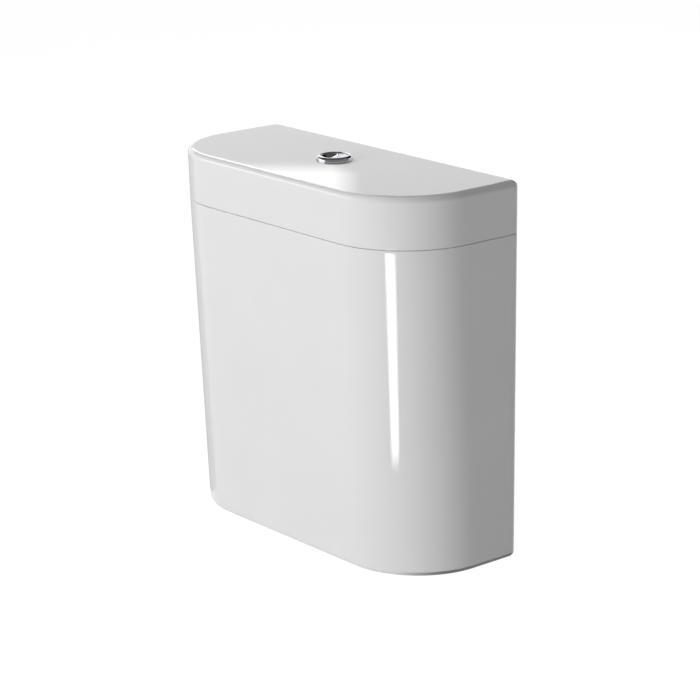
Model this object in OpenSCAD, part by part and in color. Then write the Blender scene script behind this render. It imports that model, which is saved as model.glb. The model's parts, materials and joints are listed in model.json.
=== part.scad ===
// Close-coupled toilet cistern with a dual-flush push button. Millimetres.
// Origin on the outlet axis in the plane of the tank's foot. X to the right, Y to the back, Z up.

/* [Tank] */
// Width over the sides
body_w = 375; // [350:1:420]
// Depth at the rim, front to back
body_d = 159; // [154:1:172]
// Height of the tank from foot to rim
tank_h = 331; // [322:1:380]
// How far the front face leans back by the foot
front_lean = 16.5; // [0:0.5:23]
// Radius of the two front corners
front_r = 85; // [50:1:92]
// Radius of the two back corners
back_r = 10; // [5:0.5:16]
// Radius of the edge around the foot
foot_r = 6; // [2:0.5:8]
// Thickness of the tank wall
wall_t = 10; // [8:0.5:11]
// Height of the inside floor above the foot
floor_z = 14; // [13:0.5:18]
// Depth of the hollow inside the foot ring
recess_h = 3.5; // [2.5:0.5:4]
// Width of the foot ring
foot_w = 13; // [11:0.5:14]
// Radius where the inside floor meets the wall
floor_fillet = 12; // [6:1:16]

/* [Lid] */
// Height of the lid
lid_h = 52; // [46:1:62]
// How far the lid leans forward from the seam to its top
lid_lean = 1.5; // [0:0.25:3]
// Thickness of the lid top
lid_top_t = 9; // [7:0.5:11]
// Thickness of the lid wall
lid_wall_t = 12; // [10:0.5:13]
// Radius of the edge around the lid top
lid_edge_r = 6.5; // [2:0.5:9]
// Bevel on each side of the seam between lid and tank
seam_bevel = 0.8; // [0.4:0.1:1.5]
// Gap between the lid's locating lip and the tank wall
lip_gap = 3; // [2:0.5:4]
// Width of the locating lip
lip_w = 6; // [4:0.5:8]
// How far the lip drops into the tank
lip_drop = 6; // [3:0.5:10]

/* [Button] */
// Outside radius of the bezel ring
ring_r = 18.25; // [18:0.25:21]
// Height of the bezel ring above the lid
ring_h = 6; // [4:0.25:7]
// Radius of the bezel ring's outer shoulder
ring_edge_r = 2.4; // [0.6:0.2:2.6]
// Distance of the button behind the lid's mid-depth
button_back = 2.5; // [0:0.5:3]
// Radius of the bezel collar through the lid
collar_r = 16; // [15.5:0.1:16.5]
// Radius of the button disc
button_r = 14; // [13.6:0.1:14.2]
// Depth of the button body
button_t = 9; // [8:0.5:10]
// How far the button face stands below the ring's top
button_drop = 1.4; // [1.2:0.1:2]
// Depth of the dish in the button face
dish_depth = 1.2; // [0.6:0.1:1.8]
// Button travel
press = 8; // [6:0.25:8.5]
// Distance from the button's middle to each stem
stem_x = 8; // [7.6:0.1:8.4]
// Stem radius
stem_r = 3; // [2.6:0.1:3.2]
// Push rod radius
rod_r = 2.4; // [2:0.1:2.6]
// Return spring, mean radius of a curl
spring_r = 4.4; // [4.2:0.05:4.6]
// Return spring, wire radius
wire_r = 0.45; // [0.35:0.05:0.5]
// Return spring, number of curls
spring_turns = 6; // [4:1:7]

/* [Outlet] */
// Distance from the outlet axis to the back face
outlet_back = 65; // [62:0.5:70]
// Thread radius of the outlet tail
tail_r = 29.8; // [29:0.1:30.5]
// Radius of the plain end of the outlet tail
spigot_r = 28.5; // [28:0.1:28.8]
// Bore radius of the outlet tail
outlet_bore_r = 25; // [24:0.25:25.5]
// How far the tail stands below the foot
tail_drop = 22.5; // [20:0.5:32]
// How far the coupling gasket stands below the foot
gasket_drop = 14.5; // [13:0.5:17]
// Outside radius of the coupling gasket
gasket_r = 47; // [46:0.5:48]
// Flange radius of the valve base
flange_r = 42; // [41:0.5:44]
// Thickness of a plastic backnut
backnut_t = 11; // [9:0.5:12]

/* [Flush valve] */
// Outside radius of the main tube
main_r = 20; // [19.5:0.1:20.4]
// Height of the main tube's rim above the foot
main_top = 130; // [124:1:140]
// Outside radius of the overflow tube
over_r = 17; // [16.5:0.1:17.3]
// Wall of the flush tubes
tube_t = 2.2; // [1.6:0.1:2.4]
// Distance from the valve axis to each lever pin
pivot_x = 28; // [27:0.25:29]
// Lever arm on the lift side
lift_arm = 28; // [26:0.25:30]
// Lever width
lever_w = 8; // [6:0.5:9]
// Half thickness of a lever
lever_half = 4; // [3.5:0.1:4.5]
// Radius of a lever pin
pin_r = 2; // [1.6:0.1:2.2]
// Thickness of a lift blade
blade_t = 3; // [2.5:0.25:4]
// Distance from the rim of the tank down to the lever pins
pivot_drop = 47; // [45:1:52]

/* [Fill valve] */
// Distance from the side wall's outside to the fill valve axis
fill_side = 62.5; // [58:0.5:66]
// Position of the fill valve axis behind the outlet axis
fill_y = 5; // [0:0.5:8]
// Thread radius of the inlet shank
inlet_r = 10.48; // [10.4:0.01:10.55]
// How far the inlet shank stands below the foot
inlet_drop = 34.5; // [32:0.5:44]
// Radius of the riser
riser_r = 11; // [10.5:0.1:11.5]
// Radius of the fill valve head
head_r = 17; // [16.5:0.1:18]
// Outside radius of the float
float_r = 26; // [24:0.25:27]
// Height of the float
float_h = 58; // [45:1:64]
// Float travel
float_travel = 12; // [9:0.5:12]
// Distance from the rim of the tank down to the top of the fill valve cap
cap_drop = 80; // [78:1:90]
// Arm length from its pin to the float link
link_arm = 30; // [29:0.25:31]

/* [Fixings] */
// Distance between the two fixing bolts
bolt_gap = 150; // [146:1:160]
// Thread radius of a fixing bolt
bolt_r = 4; // [3.9:0.05:4.1]
// How far the bolts stand below the foot
bolt_drop = 32; // [28:0.5:38]

/* [Fits] */
// Running clearance between a pin and its hole
run_gap = 0.06; // [0.03:0.01:0.1]
// Gap between pieces that pass each other
pass_gap = 0.4; // [0.35:0.05:0.5]
// Clearance around a bolt, shank or tail in its hole in the ceramic
hole_gap = 2.4; // [2:0.1:3]

/* [Hidden] */
$fn = 64;
edge_steps = 5;
front_steps = 20;
back_steps = 6;
y_back = outlet_back;
y_front = outlet_back - body_d;
lid_top = tank_h + lid_h;
button_y = outlet_back - body_d / 2 + button_back;
ring_top = lid_top + ring_h;
cup_r = button_r + 0.3;
cup_floor_t = 3;
button_top = ring_top - button_drop;
button_low = button_top - button_t;
spring_low = button_low - 22;
cup_low = spring_low - cup_floor_t;
stem_low = cup_low - press + 4;
split_c = button_r - 0.5;
split_r = button_r - 1;
split_gap = 0.6;
// Lever geometry: the pad arm reaches from the pin to the push rod
pad_arm = pivot_x - stem_x;
tilt = atan(press / 2 / pad_arm);
pivot_z = tank_h - pivot_drop;
lift_x = pivot_x + lift_arm;
lever_tip = lift_arm + 3.4;
nose_r = 2;
pad_z = pivot_z + pad_arm * tan(tilt) + lever_half / cos(tilt);
rod_tip_z = pad_z + (rod_r + pass_gap) / cos(tilt);
nose_z = pivot_z - lift_arm * tan(tilt) + (lever_half + nose_r + 0.6) / cos(tilt);
blade_x = lift_x + lever_tip - lift_arm + 2.6;
blade_front = button_y - lever_w / 2;
blade_back = -1;
// Heights inside the flush valve
washer_t = 3;
flange_low = floor_z + washer_t;
flange_top = flange_low + 4;
seat_z = flange_top + 3;
seal_t = 3;
main_low = seat_z + seal_t;
over_low = main_top + seal_t;
cage_ring_t = 4;
cage_in_r = 31;
cage_out_r = 37;
rib_w = 5;
guide_t = 5;
plate_z = pivot_z - 45;
plate_t = 6;
over_top = pivot_z - 35;
guide_z = main_top - 42;
full_arm_z = main_top - 14;
half_arm_z = main_top + 30;
cheek_t = 3.5;
cheek_half = 5;
cheek_in = lever_w / 2 + pass_gap;
cheek_mid = cheek_in + cheek_t / 2;
recess_top = recess_h;
tail_hole_r = tail_r + hole_gap;
backnut_r = flange_r - 1;
// Heights inside the fill valve
fill_x = -(body_w / 2 - fill_side);
cap_top = tank_h - cap_drop;
cap_top_t = 10;
diaphragm_t = 2;
head_top = cap_top - cap_top_t - diaphragm_t;
head_low = head_top - 35;
socket_h = 10;
arm_half = 3;
arm_w = 6;
arm_pin_r = 1.5;
arm_x = fill_x + 15;
arm_z = cap_top + 10;
arm_tilt = asin(float_travel / 2 / link_arm);
link_x = arm_x + link_arm * (1 + cos(arm_tilt)) / 2;
link_y = fill_y + arm_w / 2 + 5.4;
link_z = arm_z - float_travel / 2;
slot_half = arm_pin_r + pass_gap + link_arm * (1 - cos(arm_tilt)) / 2;
float_top = head_low - 7 - float_travel - 8;
float_low = float_top - float_h;
spout_y = fill_y + float_r + 9;
spout_r = 6;
spout_z = head_low + 17;
shank_neck_r = inlet_r - 0.58;
inlet_hole_r = inlet_r + hole_gap - 0.4;
shank_nut_r = 17;
inlet_bore_r = 6;
supply_r = 4.5;
spigot_top_r = 6.4;
spigot_top_h = 12;
spout_bore_r = 3;
// Heights of the fixing bolts
bolt_x = bolt_gap / 2;
neck_r = bolt_r - 0.45;
cone_t = 6;
head_t = 5.5;
under_t = 3;
steel_t = 1.6;
nut_t = 6.5;
bolt_head_r = 8;
bolt_pad_r = 12;
bolt_nut_r = 7.5;
under_low = recess_top - under_t;
steel_low = under_low - steel_t;
nut_low = steel_low - nut_t;

// Colours
ceramic = [0.95, 0.95, 0.94];
chrome = [0.75, 0.76, 0.78];
rubber = [0.13, 0.13, 0.14];
white = [0.9, 0.9, 0.88];
grey = [0.62, 0.65, 0.68];
blue = [0.2, 0.42, 0.68];
steel = [0.6, 0.61, 0.62];

// Front face at a height: the tank leans back towards the foot and the lid leans a little forward
function front_at(z) =
  z < tank_h ? y_front + front_lean * (1 - max(z, 0) / tank_h) : y_front - lid_lean * (z - tank_h) / lid_h;

// Points on a quarter circle
function quarter(x, y, r, from, steps) =
  [for (i = [0:steps]) let (a = from + 90 * i / steps) [x + r * cos(a), y + r * sin(a)]];

// Plan outline at a height, moved in from the outside
function outline(z, inset) =
  let (half = body_w / 2 - inset, fr = front_r - inset, br = max(back_r - inset, 3))
  let (front = front_at(z) + inset + fr, rear = y_back - inset - br)
  concat(quarter(half - fr, front, fr, 270, front_steps), quarter(half - br, rear, br, 0, back_steps),
    quarter(br - half, rear, br, 90, back_steps), quarter(fr - half, front, fr, 180, front_steps));

// Solid through a stack of outlines, each level given as height and inset, lowest first
module loft(levels) {
  n = 2 * (front_steps + back_steps + 2);
  top = n * (len(levels) - 1);
  points = [for (l = levels) for (p = outline(l[0], l[1])) [p[0], p[1], l[0]]];
  sides = [for (k = [0:len(levels) - 2]) for (i = [0:n - 1]) for (h = [0, 1])
    let (a = k * n + i, b = k * n + (i + 1) % n)
    h == 0 ? [a, a + n, b + n] : [a, b + n, b]];
  low_cap = [for (i = [0:n - 1]) i];
  high_cap = [for (i = [0:n - 1]) top + n - 1 - i];
  polyhedron(points = points, faces = concat(sides, [low_cap], [high_cap]), convexity = 6);
}

// Levels of a rounded edge that widens upwards, and of one that narrows upwards
function edge_out(z, inset, r) =
  [for (i = [0:edge_steps]) let (a = 90 * i / edge_steps)
    [z + r * (1 - cos(a)), inset + r * (1 - sin(a))]];
function edge_in(z, inset, r) =
  [for (i = [0:edge_steps]) let (a = 90 * i / edge_steps)
    [z - r * (1 - sin(a)), inset + r * (1 - cos(a))]];

// Ring between two radii
module ring(low, high, inner, outer) {
  translate([0, 0, low])
    difference() {
      cylinder(r = outer, h = high - low);
      translate([0, 0, -1]) cylinder(r = inner, h = high - low + 2);
    }
}

// Six-sided nut with a round hole
module hex_nut(low, high, inner, corner) {
  translate([0, 0, low])
    difference() {
      cylinder(r = corner, h = high - low, $fn = 6);
      translate([0, 0, -1]) cylinder(r = inner, h = high - low + 2, $fn = 64);
    }
}

// Bar along Y, centred on the given Y
module y_rod(x, y, z, r, length) {
  translate([x, y - length / 2, z]) rotate([-90, 0, 0]) cylinder(r = r, h = length);
}

module at_bolts() {
  for (side = [-1, 1]) translate([side * bolt_x, 0, 0]) children();
}

module at_fill() {
  translate([fill_x, fill_y, 0]) children();
}

module tank() {
  color(ceramic)
    difference() {
      loft(concat(edge_out(0, 0, foot_r), [[tank_h - seam_bevel, 0], [tank_h, seam_bevel]]));
      loft(concat(edge_out(floor_z, wall_t, floor_fillet), [[tank_h + 2, wall_t]]));
      loft([[-2, foot_w], [recess_top, foot_w]]);
      translate([0, 0, -1]) cylinder(r = tail_hole_r, h = floor_z + 2);
      at_bolts() translate([0, 0, -1]) cylinder(r = bolt_r + hole_gap, h = floor_z + 2);
      at_fill() translate([0, 0, -1]) cylinder(r = inlet_hole_r, h = floor_z + 2);
    }
}

module lid() {
  lip_in = wall_t + lip_gap;
  roof_z = lid_top - lid_top_t;
  color(ceramic)
    difference() {
      union() {
        loft(concat([[tank_h, seam_bevel], [tank_h + seam_bevel, 0]], edge_in(lid_top, 0, lid_edge_r)));
        loft([[tank_h - lip_drop, lip_in], [tank_h + 3, lip_in]]);
      }
      loft([[tank_h - lip_drop - 1, lip_in + lip_w], [tank_h + 9, lip_in + lip_w]]);
      loft([[tank_h + 8, lid_wall_t], [roof_z - 4, lid_wall_t], [roof_z, lid_wall_t + 4]]);
      translate([0, button_y, roof_z - 1]) cylinder(r = collar_r + 0.6, h = lid_top_t + 2);
    }
}

module button_bezel() {
  color(chrome)
    translate([0, button_y, 0])
      difference() {
        rotate_extrude()
          polygon(concat(
            [[0, cup_low], [collar_r, cup_low], [collar_r, lid_top], [ring_r, lid_top]],
            [for (a = [0:30:90])
              [ring_r - ring_edge_r * (1 - cos(a)), ring_top - ring_edge_r * (1 - sin(a))]],
            [[cup_r + 0.8, ring_top], [cup_r, ring_top - 0.8], [cup_r, spring_low], [0, spring_low]]));
        for (side = [-1, 1])
          translate([side * stem_x, 0, cup_low - 1]) cylinder(r = stem_r + run_gap, h = cup_floor_t + 2);
      }
}

module bezel_washer() {
  color(rubber)
    translate([0, button_y, 0])
      ring(lid_top - lid_top_t - 2, lid_top - lid_top_t, collar_r + 0.2, collar_r + 6);
}

module bezel_nut() {
  color(white)
    translate([0, button_y, 0])
      hex_nut(lid_top - lid_top_t - 10, lid_top - lid_top_t - 2, collar_r + run_gap, collar_r + 8);
}

// Dished disc shared by the two parts of the button
module button_disc() {
  dish_r = (button_r * button_r + dish_depth * dish_depth) / (2 * dish_depth);
  difference() {
    translate([0, 0, button_low]) cylinder(r = button_r, h = button_t);
    translate([0, 0, button_top - dish_depth + dish_r]) rotate([90, 0, 0]) sphere(r = dish_r);
  }
}

module button_stem(side) {
  translate([side * stem_x, 0, 0])
    difference() {
      translate([0, 0, stem_low]) cylinder(r = stem_r, h = button_low - stem_low + 1);
      translate([0, 0, stem_low - 1]) cylinder(r = rod_r - 0.6, h = 11);
    }
}

module full_flush_button() {
  color(chrome)
    translate([0, button_y, 0]) {
      difference() {
        button_disc();
        translate([-split_c, 0, button_low - 1]) cylinder(r = split_r + split_gap / 2, h = button_t + 2);
      }
      button_stem(1);
    }
}

module half_flush_button() {
  color(chrome)
    translate([0, button_y, 0]) {
      intersection() {
        button_disc();
        translate([-split_c, 0, button_low - 1]) cylinder(r = split_r - split_gap / 2, h = button_t + 2);
      }
      button_stem(-1);
    }
}

// Push rod screwed into a stem, with a round tip over the lever pad
module push_rod(side) {
  translate([side * stem_x, button_y, 0]) {
    translate([0, 0, rod_tip_z]) cylinder(r = rod_r, h = stem_low - rod_tip_z);
    translate([0, 0, rod_tip_z]) sphere(r = rod_r);
    translate([0, 0, stem_low - 1]) cylinder(r = rod_r - 0.65, h = 10);
  }
}

module full_push_rod() {
  color(blue) push_rod(1);
}

module half_push_rod() {
  color(blue) push_rod(-1);
}

// Return spring as one tube: points on the curl, then rings of six around them
spring_free = button_low - spring_low;
rings_per_turn = 8;
spring_steps = spring_turns * rings_per_turn;
spring_rise = spring_free - 2 * wire_r - 0.04;
function curl(i) = let (a = 360 * i / rings_per_turn)
  [spring_r * cos(a), spring_r * sin(a), wire_r + 0.02 + spring_rise * i / spring_steps];
function way(i) = let (a = 360 * i / rings_per_turn) [-sin(a), cos(a), 0];
spring_path = concat([curl(0) - 2 * wire_r * way(0)], [for (i = [0:spring_steps]) curl(i)],
  [curl(spring_steps) + 2 * wire_r * way(spring_steps)]);
function ring_angle(k) = 360 * min(max(k - 1, 0), spring_steps) / rings_per_turn;
spring_points = [for (k = [0:spring_steps + 2]) for (s = [0:5])
  let (a = ring_angle(k), t = 60 * s)
  spring_path[k] + wire_r * [cos(t) * cos(a), cos(t) * sin(a), sin(t)]];
spring_last = 6 * (spring_steps + 2);
spring_sides = [for (k = [0:spring_steps + 1]) for (s = [0:5]) for (h = [0, 1])
  let (a = 6 * k + s, b = 6 * k + (s + 1) % 6)
  h == 0 ? [a, b, b + 6] : [a, b + 6, a + 6]];
spring_ends = [for (s = [1:4]) for (h = [0, 1])
  h == 0 ? [0, s + 1, s] : [spring_last, spring_last + s, spring_last + s + 1]];
spring_gap = min([for (i = [0:spring_steps - rings_per_turn])
  norm(curl(i + rings_per_turn) - curl(i)) - 2 * wire_r]);
echo(spring_gap = spring_gap);

module button_spring(side) {
  translate([side * stem_x, button_y, spring_low])
    polyhedron(points = spring_points, faces = concat(spring_sides, spring_ends), convexity = 8);
}

module full_button_spring() {
  color(steel) button_spring(1);
}

module half_button_spring() {
  color(steel) button_spring(-1);
}

module valve_base() {
  color(white)
    rotate_extrude()
      polygon([[outlet_bore_r, -tail_drop], [spigot_r - 0.8, -tail_drop], [spigot_r, -tail_drop + 0.8],
        [spigot_r, -gasket_drop], [tail_r, -gasket_drop], [tail_r, flange_low], [flange_r, flange_low],
        [flange_r, flange_top], [outlet_bore_r + 2.5, flange_top], [outlet_bore_r + 2.5, seat_z],
        [outlet_bore_r, seat_z]]);
}

module base_washer() {
  color(rubber) ring(floor_z, flange_low, tail_r + 0.4, flange_r + 2);
}

module valve_backnut() {
  color(white)
    union() {
      hex_nut(recess_top - backnut_t, recess_top - 3, tail_r + run_gap, backnut_r);
      ring(recess_top - 3, recess_top, tail_r + run_gap, backnut_r);
    }
}

module coupling_gasket() {
  nut_low_z = recess_top - backnut_t;
  color(rubber)
    rotate_extrude()
      polygon([[tail_r + 0.4, -gasket_drop], [gasket_r - 6, -gasket_drop], [gasket_r, -gasket_drop + 8],
        [gasket_r, recess_top - 2], [gasket_r - 2, recess_top], [backnut_r + 1.5, recess_top],
        [backnut_r + 1.5, nut_low_z], [tail_r + 0.4, nut_low_z]]);
}

// Upright ribs of the cage, with room around them where a gap is given
module cage_ribs(gap) {
  for (turn = [45:90:315])
    rotate([0, 0, turn])
      translate([cage_in_r - gap, -rib_w / 2 - gap, flange_top])
        cube([cage_out_r - cage_in_r + 2 * gap, rib_w + 2 * gap, plate_z - flange_top]);
}

module valve_cage() {
  color(grey) {
    ring(flange_top, flange_top + cage_ring_t, cage_in_r, flange_r);
    cage_ribs(0);
  }
}

// Ring that snaps between the ribs and guides the main tube
module guide_ring() {
  color(grey)
    difference() {
      ring(guide_z, guide_z + guide_t, main_r + pass_gap, cage_in_r + 2);
      cage_ribs(0.05);
    }
}

// Plate on top of the ribs that guides the overflow tube and holds the lever pins
module lever_bracket() {
  plate_half = pivot_x + cheek_half + 1;
  cheek_span = cheek_in + cheek_t;
  color(grey)
    difference() {
      union() {
        translate([0, 0, plate_z]) cylinder(r = cage_out_r, h = plate_t);
        translate([-plate_half, button_y - cheek_span, plate_z])
          cube([2 * plate_half, 2 * cheek_span, plate_t]);
        for (side = [-1, 1], edge = [-1, 1])
          translate([side * pivot_x - cheek_half, button_y + edge * cheek_mid - cheek_t / 2, plate_z])
            cube([2 * cheek_half, cheek_t, pivot_z - plate_z + cheek_half]);
      }
      translate([0, 0, plate_z - 1]) cylinder(r = over_r + pass_gap, h = plate_t + 2);
      for (side = [-1, 1])
        y_rod(side * pivot_x, button_y, pivot_z, pin_r + 0.02, 2 * cheek_span + 2);
    }
}

module lever_pins() {
  color(steel)
    for (side = [-1, 1])
      y_rod(side * pivot_x, button_y, pivot_z, pin_r, 2 * (cheek_in + cheek_t) + 1);
}

module main_tube() {
  color(white)
    rotate_extrude()
      polygon([[main_r - tube_t, main_low], [outlet_bore_r + 3, main_low],
        [outlet_bore_r + 3, main_low + 3], [main_r, main_low + 6], [main_r, main_top],
        [main_r - tube_t, main_top]]);
}

module main_seal() {
  color(rubber) ring(seat_z, main_low, main_r - tube_t + 0.5, outlet_bore_r + 4);
}

module overflow_tube() {
  color(white)
    rotate_extrude()
      polygon([[over_r - tube_t, over_low], [main_r + 4, over_low], [main_r + 4, over_low + 3],
        [over_r, over_low + 6], [over_r, over_top], [over_r - tube_t, over_top]]);
}

module half_seal() {
  color(rubber) ring(main_top, over_low, over_r - tube_t + 0.5, main_r + 3);
}

// Collar on a tube, an arm out to the side and a blade up to a nose over the lever tip
module lift_blade(tube_r, arm_z) {
  blade_top = nose_z + nose_r + 2;
  ring(arm_z - 2, arm_z + 8, tube_r + 0.05, tube_r + 3);
  translate([tube_r + 2, -9, arm_z]) cube([blade_x + blade_t - tube_r - 2, 8, 6]);
  translate([blade_x, blade_front, arm_z])
    cube([blade_t, blade_back - blade_front, blade_top - arm_z]);
  translate([lift_x, blade_front, nose_z]) cube([blade_x - lift_x + 1, lever_w, nose_r + 2]);
  y_rod(lift_x, button_y, nose_z, nose_r, lever_w);
}

module full_lift_blade() {
  color(blue) lift_blade(main_r, full_arm_z);
}

module half_lift_blade() {
  color(blue) mirror([1, 0, 0]) lift_blade(over_r, half_arm_z);
}

// Rocking lever on the right: the inner pad stands high until the rod presses it
module lever() {
  translate([pivot_x, button_y, pivot_z])
    rotate([0, tilt, 0])
      difference() {
        union() {
          translate([-pad_arm - 4, -lever_w / 2, 0]) cube([pad_arm + 4 + lever_tip, lever_w, lever_half]);
          translate([0, lever_w / 2, 0])
            rotate([90, 0, 0])
              linear_extrude(height = lever_w)
                polygon([[-pad_arm - 4, 0.5], [-pad_arm - 4, -0.5], [0, -6], [lever_tip, 0],
                  [lever_tip, 0.5]]);
        }
        y_rod(0, 0, 0, pin_r + run_gap, lever_w + 2);
      }
}

module full_lever() {
  color(blue) lever();
}

module half_lever() {
  color(blue) mirror([1, 0, 0]) lever();
}

module fill_shank() {
  color(white)
    at_fill()
      rotate_extrude()
        polygon([[inlet_bore_r, -inlet_drop], [inlet_r - 0.8, -inlet_drop], [inlet_r, -inlet_drop + 0.8],
          [inlet_r, recess_top - backnut_t], [shank_neck_r, recess_top - backnut_t],
          [shank_neck_r, flange_low], [shank_nut_r, flange_low], [shank_nut_r, flange_top],
          [spigot_top_r, flange_top], [spigot_top_r, flange_top + spigot_top_h],
          [supply_r, flange_top + spigot_top_h], [supply_r, -8], [inlet_bore_r, -10]]);
}

module shank_washer() {
  color(rubber) at_fill() ring(floor_z, flange_low, shank_neck_r + 0.4, shank_nut_r);
}

module shank_backnut() {
  color(white) at_fill() hex_nut(recess_top - backnut_t, recess_top, inlet_r + run_gap, shank_nut_r + 1);
}

module inlet_filter() {
  color(grey)
    at_fill()
      rotate_extrude()
        polygon([[inlet_bore_r - 1.4, -inlet_drop + 2], [inlet_bore_r - 0.05, -inlet_drop + 2],
          [inlet_bore_r - 0.05, -inlet_drop + 5], [inlet_bore_r - 1.4, -inlet_drop + 20],
          [0, -inlet_drop + 20], [0, -inlet_drop + 18.8], [inlet_bore_r - 2.4, -inlet_drop + 18.8]]);
}

module fill_riser() {
  color(white) at_fill() ring(flange_top, head_low + socket_h, spigot_top_r + 0.1, riser_r);
}

module fill_head() {
  color(grey)
    difference() {
      union() {
        at_fill() translate([0, 0, head_low]) cylinder(r = head_r, h = head_top - head_low);
        translate([fill_x, fill_y, spout_z])
          rotate([-90, 0, 0]) cylinder(r = spout_bore_r + 2, h = spout_y - fill_y);
        translate([fill_x, spout_y, spout_z - 6]) cylinder(r = spout_r, h = 12);
        translate([fill_x, spout_y, spout_z - 16]) cylinder(r = spout_r - 1.2, h = 12);
      }
      at_fill() translate([0, 0, head_low - 1]) cylinder(r = riser_r + 0.05, h = socket_h + 1);
      at_fill() translate([0, 0, head_low]) cylinder(r = supply_r + 0.5, h = head_top - head_low + 1);
      translate([fill_x, fill_y, spout_z])
        rotate([-90, 0, 0]) cylinder(r = spout_bore_r, h = spout_y - fill_y);
      translate([fill_x, spout_y, spout_z - 17]) cylinder(r = spout_bore_r, h = 18);
    }
}

module fill_cap() {
  ear_in = arm_w / 2 + pass_gap;
  color(blue)
    difference() {
      union() {
        at_fill()
          difference() {
            translate([0, 0, head_top - 9]) cylinder(r = head_r + 2, h = cap_top - head_top + 9);
            translate([0, 0, head_top - 10]) cylinder(r = head_r + run_gap, h = 10 + diaphragm_t);
          }
        for (edge = [-1, 1])
          translate([arm_x - 4, fill_y + edge * (ear_in + 1.5) - 1.5, cap_top - 1])
            cube([8, 3, arm_z - cap_top + 5]);
      }
      y_rod(arm_x, fill_y, arm_z, arm_pin_r + 0.02, 2 * ear_in + 8);
    }
}

module diaphragm() {
  color(rubber) at_fill() translate([0, 0, head_top]) cylinder(r = head_r - 0.2, h = diaphragm_t);
}

// Open-bottomed cup that rides the riser
module fill_float() {
  sleeve_r = riser_r + pass_gap;
  color(white) {
    at_fill()
      rotate_extrude()
        polygon([[sleeve_r, float_low], [sleeve_r + 2, float_low], [sleeve_r + 2, float_top - 3],
          [float_r - 2, float_top - 3], [float_r - 2, float_low], [float_r, float_low],
          [float_r, float_top], [sleeve_r, float_top]]);
    translate([fill_x + float_r - 5, link_y - 4.5, float_top - 5])
      cube([link_x + 5 - fill_x - float_r + 5, 9, 5]);
  }
}

module float_link() {
  color(blue)
    difference() {
      union() {
        translate([link_x, link_y, float_top]) cylinder(r = 4, h = 3);
        translate([link_x, link_y, float_top]) cylinder(r = 2, h = link_z - float_top);
        translate([link_x - slot_half - 2.5, link_y - 2, link_z - 5]) cube([2 * slot_half + 5, 4, 10]);
      }
      translate([link_x - slot_half, link_y - 3, link_z - arm_pin_r - pass_gap])
        cube([2 * slot_half, 6, 2 * (arm_pin_r + pass_gap)]);
    }
}

// Arm on the cap: the float lifts one end and the other end closes the pilot hole
module float_arm() {
  pilot_h = arm_z - cap_top - arm_half - 15 * sin(arm_tilt) - 1;
  color(blue)
    translate([arm_x, fill_y, arm_z])
      rotate([0, arm_tilt, 0])
        difference() {
          union() {
            translate([-18, -arm_w / 2, -arm_half]) cube([link_arm + 21, arm_w, 2 * arm_half]);
            y_rod(link_arm, link_y - fill_y - 1, 0, arm_pin_r, 10);
            translate([-15, 0, -arm_half - pilot_h]) cylinder(r = 2, h = pilot_h + 1);
          }
          y_rod(0, 0, 0, arm_pin_r + run_gap, arm_w + 2);
        }
}

module arm_pin() {
  color(steel) y_rod(arm_x, fill_y, arm_z, arm_pin_r, arm_w + 2 * pass_gap + 7);
}

module discharge_tube() {
  color(white) translate([fill_x, spout_y, 0]) ring(floor_z + 26, spout_z - 6, spout_r - 1.15, spout_r);
}

module coupling_bolts() {
  color(steel)
    at_bolts()
      rotate_extrude()
        polygon([[0, -bolt_drop], [bolt_r - 1, -bolt_drop], [bolt_r, -bolt_drop + 1], [bolt_r, nut_low],
          [neck_r, nut_low], [neck_r, floor_z + cone_t], [bolt_head_r, floor_z + cone_t],
          [bolt_head_r, floor_z + cone_t + head_t - 2], [bolt_head_r - 2, floor_z + cone_t + head_t],
          [0, floor_z + cone_t + head_t]]);
}

module bolt_cone_washers() {
  color(rubber)
    at_bolts()
      rotate_extrude()
        polygon([[neck_r + 0.3, floor_z], [bolt_pad_r, floor_z], [bolt_pad_r, floor_z + 2],
          [bolt_head_r, floor_z + cone_t],
          [neck_r + 0.3, floor_z + cone_t]]);
}

module bolt_under_washers() {
  color(rubber) at_bolts() ring(under_low, recess_top, neck_r + 0.3, bolt_pad_r);
}

module bolt_steel_washers() {
  color(steel) at_bolts() ring(steel_low, under_low, bolt_r + 0.2, bolt_pad_r - 1);
}

module bolt_nuts() {
  color(steel) at_bolts() hex_nut(nut_low, steel_low, bolt_r + run_gap, bolt_nut_r);
}

tank();
lid();
button_bezel();
bezel_washer();
bezel_nut();
full_flush_button();
half_flush_button();
full_push_rod();
half_push_rod();
full_button_spring();
half_button_spring();
valve_base();
base_washer();
valve_backnut();
coupling_gasket();
valve_cage();
guide_ring();
lever_bracket();
main_tube();
main_seal();
full_lift_blade();
overflow_tube();
half_seal();
half_lift_blade();
full_lever();
half_lever();
lever_pins();
fill_shank();
shank_washer();
shank_backnut();
inlet_filter();
fill_riser();
fill_head();
fill_cap();
diaphragm();
fill_float();
float_link();
float_arm();
arm_pin();
discharge_tube();
coupling_bolts();
bolt_cone_washers();
bolt_under_washers();
bolt_steel_washers();
bolt_nuts();
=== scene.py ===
import json
import math
import bmesh
import bpy
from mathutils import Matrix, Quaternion, Vector


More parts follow.
